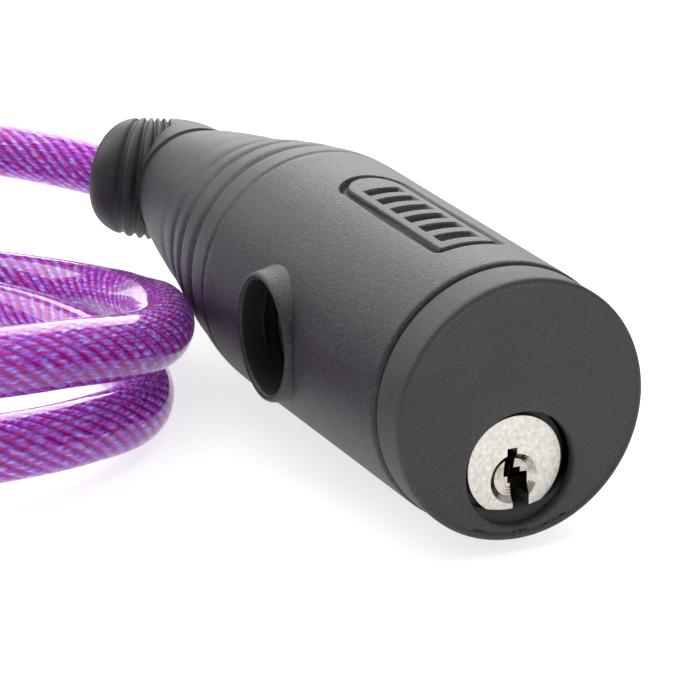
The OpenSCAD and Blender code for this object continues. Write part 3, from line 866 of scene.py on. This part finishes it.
@dataclass
class Cable:
    """The sheathed cable with its boot and plug. In millimetres, angles in degrees.

    The route's keys give an angle about the coil's middle, a radius and a height.
    """

    diameter: float = 8.0
    sheath_sides: int = 40
    coil_at: Pair = (-26.0, -60.0)
    keys: tuple[Point, ...] = (
        (126, 61, 17.8), (150, 60, 20), (190, 54, 21), (240, 48, 21), (300, 45, 20.8), (345, 44, 20.2),
        (385, 44, 17.2), (410, 44.6, 13.4), (435, 43, 10.6), (455, 43, 7.6), (480, 44.8, 4.8), (505, 46, 4),
        (570, 46.4, 4), (640, 43.4, 4.6), (690, 40.6, 6.6), (730, 41, 7), (752, 42.8, 6), (768, 42.8, 4.4),
        (784, 40.6, 4), (802, 36.6, 4), (822, 34, 4), (850, 33.4, 4), (880, 35, 4.6), (905, 38.2, 7.6),
        (925, 41.6, 10.6), (945, 46.2, 12.4), (965, 51, 11), (985, 55, 7.6), (1010, 57, 4.8))
    route_step: float = 1.5
    rear: Point = (-50.0, 0.0, 16.4)
    rear_gap: float = 0.05
    boot_length: float = 24.0
    boot_pull: float = 0.45
    boot_share: float = 0.96
    boot_steps: int = 150
    boot_sides: int = 96
    boot_root: Pair = (3.9, 7.5)
    boot_shape: tuple[Pair, ...] = (
        (0, 9.3), (0.35, 9.2), (0.6, 9.05), (0.78, 8.9), (0.88, 8.6), (0.94, 8.0), (0.98, 7.0), (1.0, 5.6))
    boot_grooves: tuple[float, ...] = (0.52, 0.6, 0.68, 0.76, 0.84)
    groove_depth: float = 0.6
    groove_width: float = 0.018
    boot_lip: tuple[Pair, ...] = ((0.25, 4.6), (0.3, 4.25), (0.1, 4.03), (-3.0, 4.02))
    tail_straight: float = 12.0
    sleeve_r: float = 7.5
    sleeve_length: float = 20.0
    grips: int = 4
    grip_start: float = 9.5
    grip_pitch: float = 1.6
    grip_shape: tuple[Pair, ...] = ((0, 0.02), (0.35, 0.35), (0.8, 0.4), (1.2, 0.06))
    pin_r: float = 6.7
    pin_length: float = 22.0
    plug_sides: int = 96
    core_r: float = 2.75
    strands: int = 12
    lobe: int = 8
    lay: float = 27.0

    def route(self, degrees: float) -> Vector:
        """Follow the coiled route.

        Args:
            degrees: the angle about the coil's middle.

        Returns:
            The centreline's point there.
        """
        radius = through([(a, r) for a, r, _ in self.keys], degrees)
        height = max(self.diameter / 2, through([(a, z) for a, _, z in self.keys], degrees))
        a = math.radians(degrees)
        x, y = self.coil_at
        return Vector((x + radius * math.cos(a), y + radius * math.sin(a), height))

    def boot_line(self, t: float) -> Vector:
        """Follow the boot's bend.

        Args:
            t: 0 at the barrel's rear and 1 where the coiled route starts.

        Returns:
            The centreline's point there.
        """
        start = Vector(self.rear) - Vector((self.rear_gap, 0, 0))
        end = self.route(self.keys[0][0])
        heading = (self.route(self.keys[0][0] + 2) - end).normalized()
        reach = self.boot_length * self.boot_pull
        b, c = start - Vector((reach, 0, 0)), end - reach * heading
        return (1 - t) ** 3 * start + 3 * (1 - t) ** 2 * t * b + 3 * (1 - t) * t**2 * c + t**3 * end

    def plug_frame(self) -> tuple[Vector, Vector]:
        """Place the plug.

        Returns:
            Where the plug's sleeve starts, and the way it points.
        """
        last = self.keys[-1][0]
        a = math.radians(last)
        heading = Vector((-math.sin(a), math.cos(a), 0))
        end = self.route(last)
        return Vector((end.x, end.y, self.sleeve_r)) + self.tail_straight * heading, heading

    def line(self) -> list[Vector]:
        """Lay the cable's centreline from the barrel's rear into the plug.

        Returns:
            Its points.
        """
        start, heading = self.plug_frame()
        first, last = self.keys[0][0], self.keys[-1][0]
        points = [self.boot_line(i / 24) for i in range(24)]
        steps = int((last - first) / self.route_step)
        points += [self.route(first + self.route_step * i) for i in range(steps + 1)]
        end = points[-1]
        bend = start - 6 * heading
        bend.z = (end.z + self.sleeve_r) / 2
        points += [end.lerp(bend, 0.5) - Vector((0, 0, 0.12)), bend, start]
        return points + [start + 5 * heading, start + 7.8 * heading]

    def frames(self, line: Sequence[Vector]) -> list[tuple[Vector, Vector, Vector, float]]:
        """Frames that don't roll along a line.

        Args:
            line: the points to follow.

        Returns:
            For each point: itself, two cross directions, and the length so far.
        """
        side, run, found = UP.copy(), 0.0, []
        for i, p in enumerate(line):
            ahead = (line[min(i + 1, len(line) - 1)] - line[max(i - 1, 0)]).normalized()
            side = (side - side.dot(ahead) * ahead).normalized()
            run += (p - line[i - 1]).length if i else 0
            found.append((p, side, ahead.cross(side), run))
        return found

    def refined(self, line: Sequence[Vector], step: float) -> list[Vector]:
        """Put more points on a line.

        Args:
            line: the points to follow.
            step: the longest distance between two new points.

        Returns:
            The points of a smooth curve through the line's own.
        """
        points = []
        for i in range(len(line) - 1):
            parts = max(1, math.ceil((line[i + 1] - line[i]).length / step))
            before, after = line[max(i - 1, 0)], line[min(i + 2, len(line) - 1)]
            leaving, arriving = (line[i + 1] - before) / 2, (after - line[i]) / 2
            points += [cubic(line[i], leaving, line[i + 1], arriving, k / parts) for k in range(parts)]
        return points + [line[-1]]

    def sheath(self, finishes: Finishes, line: Sequence[Vector]) -> bpy.types.Object:
        """Build the clear outer sheath.

        Args:
            finishes: the lock's finishes.
            line: the centreline.

        Returns:
            The sheath.
        """
        radius = MM * self.diameter / 2
        rings = [circle(MM * p, u, v, radius, self.sheath_sides) for p, u, v, _ in self.frames(line)]
        obj = dress(skin("cable_sheath", rings), finishes.sheath)
        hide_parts("cable_lead", "cable_coil", "cable_tail")
        return obj

    def core(self, finishes: Finishes, line: Sequence[Vector]) -> bpy.types.Object:
        """Build the twisted steel core, one lobe to a strand.

        Args:
            finishes: the lock's finishes.
            line: the centreline.

        Returns:
            The core, whose height attribute is 0 between strands and 1 on their crests.
        """
        sides = self.lobe * self.strands
        half_turn = math.pi / self.strands
        wire = self.core_r * math.sin(half_turn) / (1 + math.sin(half_turn)) * 1.06
        pitch_r = self.core_r - wire
        deepest = pitch_r * math.cos(half_turn)
        rings, heights = [], []
        for p, u, v, run in self.frames(line):
            ring = []
            for k in range(sides):
                off = ((k % self.lobe) / self.lobe - 0.5) * TAU / self.strands
                bulge = math.sqrt(max(0.0, wire**2 - (pitch_r * math.sin(off)) ** 2))
                reach = pitch_r * math.cos(off) + bulge
                a = TAU * k / sides + TAU * run / self.lay
                ring.append(MM * (p + reach * (math.cos(a) * u + math.sin(a) * v)))
                heights.append(min(1.0, max(0.0, (reach - deepest) / (self.core_r - deepest))))
            rings.append(ring)
        obj = skin("cable_core", rings)
        turns = run / self.lay
        for corner in obj.data.uv_layers["UVMap"].data:
            corner.uv.x += turns * corner.uv.y
        layer = obj.data.attributes.new("height", "FLOAT", "POINT")
        layer.data.foreach_set("value", heights)
        return dress(obj, finishes.strand)

    def boot(self, finishes: Finishes) -> bpy.types.Object:
        """Build the ringed boot.

        Args:
            finishes: the lock's finishes.

        Returns:
            The boot, from its root inside the barrel to the lip around the cable.
        """
        root, root_r = self.boot_root
        line = [Vector(self.rear) + Vector((root, 0, 0)), Vector(self.rear)]
        steps = self.boot_steps
        line += [self.boot_line(self.boot_share * i / steps) for i in range(steps + 1)]
        rings = []
        for i, (p, u, v, _) in enumerate(self.frames(line)):
            t = (i - 2) / steps
            cuts = [math.exp(-(((t - at) / self.groove_width) ** 2)) for at in self.boot_grooves]
            outside = through(self.boot_shape, t) - sum(self.groove_depth * cut for cut in cuts)
            radius = root_r if i < 2 else outside
            rings.append(circle(MM * p, u, v, MM * radius, self.boot_sides))
        end, u, v, _ = self.frames(line)[-1]
        heading = (line[-1] - line[-2]).normalized()
        for ahead, radius in self.boot_lip:
            rings.append(circle(MM * (end + ahead * heading), u, v, MM * radius, self.boot_sides))
        obj = dress(skin("cable_boot_skin", rings), finishes.rubber)
        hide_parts("cable_boot")
        return obj

    def sleeve_profile(self) -> list[Pair]:
        """Outline of the plug's sleeve.

        Returns:
            Pairs of the distance along the plug and a radius.
        """
        r, n = self.sleeve_r, self.sleeve_length
        nose = [(0.4, 4.05), (0.05, 4.4), (0, 5.2), (0.2, 5.9), (1.4, 6.7), (3, r - 0.1), (4.2, r)]
        rows = [self.grip_start + self.grip_pitch * i for i in range(self.grips)]
        rings = [(row + x, r - deep) for row in rows for x, deep in self.grip_shape]
        back = [(n - 1.0, r), (n - 0.3, r - 0.08), (n, r - 0.4), (n, self.pin_r - 0.6), (n - 0.1, 3)]
        return nose + rings + back

    def pin_profile(self) -> list[Pair]:
        """Outline of the locking pin, with the groove that the latch drops into.

        Returns:
            Pairs of the distance along the plug and a radius.
        """
        n, p, e = self.sleeve_length, self.pin_r, self.sleeve_length + self.pin_length
        shank = [(n - 1, 4), (n - 0.9, p - 0.1), (n, p)]
        groove = [(e - 10.6, p), (e - 10.4, p - 0.2), (e - 10.3, p - 1.5), (e - 10, p - 1.8),
                  (e - 7.4, p - 1.8), (e - 7.1, p - 1.5), (e - 7, p - 0.2), (e - 6.8, p)]
        tip = [(e - 1.9, p), (e - 1.3, p - 0.25), (e - 0.5, p - 0.9), (e - 0.1, p - 1.6),
               (e, p - 2.4), (e, 1)]
        return shank + groove + tip

    def plug(self, finishes: Finishes) -> list[bpy.types.Object]:
        """Build the plug's sleeve and its grooved locking pin.

        Args:
            finishes: the lock's finishes.

        Returns:
            The two pieces.
        """
        start, heading = self.plug_frame()
        side = heading.cross(UP)
        made = []
        for name, profile, finish, slot, node in (
                ("plug_sleeve_grip", self.sleeve_profile(), finishes.cover, Slot.COVER, "plug_sleeve"),
                ("locking_pin_turned", self.pin_profile(), finishes.nickel, Slot.NICKEL, "locking_pin")):
            rings = [circle(MM * (start + x * heading), side, UP, MM * radius, self.plug_sides)
                     for x, radius in profile]
            obj = dress(skin(name, rings), finish)
            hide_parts(node)
            made.append(obj)
        return made

    def build(self, finishes: Finishes) -> None:
        """Args:
            finishes: the lock's finishes.
        """
        line = self.refined(self.line(), 1.0)
        sheath = self.sheath(finishes, line)
        fine = self.refined(self.line(), 0.5)
        pieces = [self.core(finishes, fine), self.boot(finishes), *self.plug(finishes)]
        pieces.append(frame["nodes"]["plug_ferrule"])


@dataclass
class Works:
    """The metal works inside the lock, which keep their own shapes."""

    rotor_centre: Point = (0.05, 0.0, 0.0081)

    def build(self, finishes: Finishes) -> None:
        """Dress every node of the model that is still shown.

        Args:
            finishes: the lock's finishes.
        """
        slots = {part["node"]: part["material_slot"] for part in frame["record"]["subparts"]}
        for name, node in frame["nodes"].items():
            if node.hide_render:
                continue
            if name == "rotor":
                finish = KeyFace(centre=self.rotor_centre).build()
            else:
                finish = finishes.of_slot(Slot(slots[name]))
            node.data.materials.clear()
            node.data.materials.append(finish)
            LOG.info("%s: %s", name, finish.name)


def main() -> None:
    logging.basicConfig(level=logging.INFO, format="%(message)s")
    Studio().build()
    finishes = Finishes()
    Cable().build(finishes)
    Barrel().build(finishes)
    EndCap().build(finishes)
    Works().build(finishes)


if __name__ == "__main__":
    main()
